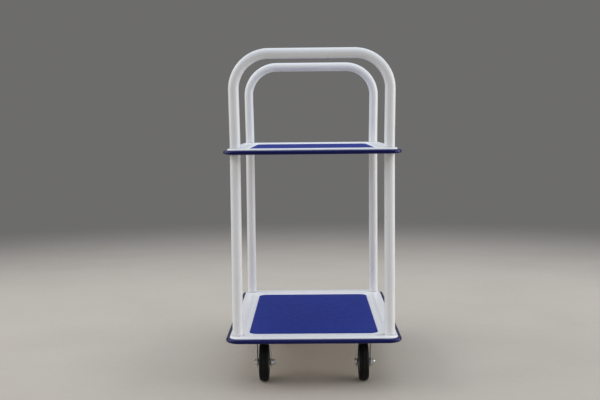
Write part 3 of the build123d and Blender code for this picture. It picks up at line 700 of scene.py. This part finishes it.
def stage_floor():
    """Pale matt floor that runs out to the backdrop's tone; seen from below it isn't there."""
    t = Tree("floor")
    x, y, z = t.split()
    far = t.length2(x, y)
    colour = t.mix(t.remap(t.noise(3.0, 4.0), 0.3, 0.7), (0.496, 0.444, 0.378), (0.526, 0.472, 0.404))
    rough = t.remap(t.noise(40.0, 3.0), 0.3, 0.7, 0.60, 0.75)
    t.set(Base_Color=colour, Roughness=rough)
    t.set(Specular_IOR_Level=0.25)
    glow = t.node("ShaderNodeEmission")
    glow.inputs["Color"].default_value = (*HORIZON, 1.0)
    blend = t.node("ShaderNodeMixShader")
    t.nt.links.new(t.remap(far, 1.3, 4.1, smooth=True), blend.inputs[0])
    t.nt.links.new(t.bsdf.outputs["BSDF"], blend.inputs[1])
    t.nt.links.new(glow.outputs[0], blend.inputs[2])
    under = t.node("ShaderNodeMixShader")
    t.nt.links.new(t.node("ShaderNodeNewGeometry").outputs["Backfacing"], under.inputs[0])
    t.nt.links.new(blend.outputs[0], under.inputs[1])
    t.nt.links.new(t.node("ShaderNodeBsdfTransparent").outputs[0], under.inputs[2])
    out = next(n for n in t.nt.nodes if n.type == "OUTPUT_MATERIAL")
    t.nt.links.new(under.outputs[0], out.inputs["Surface"])
    me = bpy.data.meshes.new("floor")
    rows = [[(r * math.cos(2 * math.pi * i / 96), r * math.sin(2 * math.pi * i / 96), 0.0) for i in range(96)] for r in (1.0, 4.0, 12.0, 60.0)]
    verts, faces = loft(rows, cap_first=True)
    # every face looks up
    turned = []
    for f in faces:
        a, b, c = (Vector(verts[i]) for i in f[:3])
        turned.append(f if (b - a).cross(c - b).z > 0 else f[::-1])
    me.from_pydata(verts, [], turned)
    ob = bpy.data.objects.new("floor", me)
    me.materials.append(t.mat)
    SCENE.collection.objects.link(ob)


def world_light():
    w = bpy.data.worlds.new("studio")
    SCENE.world = w
    w.use_nodes = True
    nt = w.node_tree
    nt.nodes.clear()
    out = nt.nodes.new("ShaderNodeOutputWorld")
    bg = nt.nodes.new("ShaderNodeBackground")
    ramp = nt.nodes.new("ShaderNodeValToRGB")
    sep = nt.nodes.new("ShaderNodeSeparateXYZ")
    co = nt.nodes.new("ShaderNodeTexCoord")
    span = nt.nodes.new("ShaderNodeMapRange")
    nt.links.new(co.outputs["Generated"], sep.inputs[0])
    nt.links.new(sep.outputs["Z"], span.inputs["Value"])
    span.inputs["From Min"].default_value, span.inputs["From Max"].default_value = -1.0, 1.0
    # the backdrop's tone reaches higher behind the object, towards +Y
    back = nt.nodes.new("ShaderNodeMapRange")
    back.interpolation_type = "SMOOTHSTEP"
    nt.links.new(sep.outputs["Y"], back.inputs["Value"])
    for k, v in zip(("From Min", "From Max", "To Min", "To Max"), (-0.2, 0.8, 0.0, 0.09)):
        back.inputs[k].default_value = v
    level = nt.nodes.new("ShaderNodeMath")
    level.operation = "SUBTRACT"
    nt.links.new(span.outputs[0], level.inputs[0])
    nt.links.new(back.outputs[0], level.inputs[1])
    nt.links.new(level.outputs[0], ramp.inputs[0])
    nt.links.new(ramp.outputs[0], bg.inputs["Color"])
    nt.links.new(bg.outputs[0], out.inputs[0])
    cr = ramp.color_ramp
    cr.elements[0].position, cr.elements[0].color = 0.0, (0.26, 0.255, 0.25, 1)
    cr.elements[1].position, cr.elements[1].color = 1.0, (0.67, 0.745, 0.88, 1)
    for pos, c in ((0.38, HORIZON), (0.56, HORIZON), (0.67, (0.52, 0.532, 0.555)), (0.82, (0.695, 0.76, 0.87))):
        e = cr.elements.new(pos)
        e.color = (*c, 1)
    bg.inputs["Strength"].default_value = 1.0


def softbox(name, at, aim, width, height, watts, colour):
    data = bpy.data.lights.new(name, "AREA")
    data.shape = "RECTANGLE"
    data.size, data.size_y = width, height
    data.energy = watts
    data.color = colour
    ob = bpy.data.objects.new(name, data)
    SCENE.collection.objects.link(ob)
    ob.location = at
    ob.rotation_mode = "QUATERNION"
    ob.rotation_quaternion = (Vector(aim) - Vector(at)).to_track_quat("-Z", "Y")
    ob.visible_camera = False


stage_floor()
world_light()
softbox("overhead", (0.35, 0.2, 4.6), (0.0, 0.0, 0.3), 4.4, 4.4, 38.0, (0.865, 0.93, 1.0))
softbox("left_side", (-4.3, -0.2, 2.4), (0.0, 0.0, 0.5), 4.8, 4.2, 105.0, (1.0, 0.975, 0.94))
softbox("right_side", (4.5, -0.3, 1.35), (0.0, 0.0, 0.6), 4.8, 2.7, 120.0, (1.0, 0.985, 0.96))

FOCAL_PX, PITCH, ROLL, YAW = 940.05, 0.08402, -0.0094, -0.01002
CAM_AT = (-8.9 * MM, -2855.0 * MM, 731.7 * MM)


def camera():
    data = bpy.data.cameras.new("camera")
    data.sensor_fit = "HORIZONTAL"
    data.sensor_width = 36.0
    data.lens = FOCAL_PX * 36.0 / 600.0
    data.clip_start, data.clip_end = 0.05, 200.0
    ahead = Vector((math.sin(YAW), math.cos(YAW), 0))
    right = Vector((math.cos(YAW), -math.sin(YAW), 0))
    up = Vector((0, 0, 1))
    view = ahead * math.cos(PITCH) - up * math.sin(PITCH)
    above = up * math.cos(PITCH) + ahead * math.sin(PITCH)
    x = right * math.cos(ROLL) + above * math.sin(ROLL)
    y = -right * math.sin(ROLL) + above * math.cos(ROLL)
    ob = bpy.data.objects.new("camera", data)
    SCENE.collection.objects.link(ob)
    m = Matrix((x, y, -view)).transposed().to_4x4()
    m.translation = Vector(CAM_AT)
    ob.matrix_world = m
    SCENE.camera = ob


camera()
SCENE.view_settings.view_transform = "Standard"
SCENE.cycles.use_denoising = True
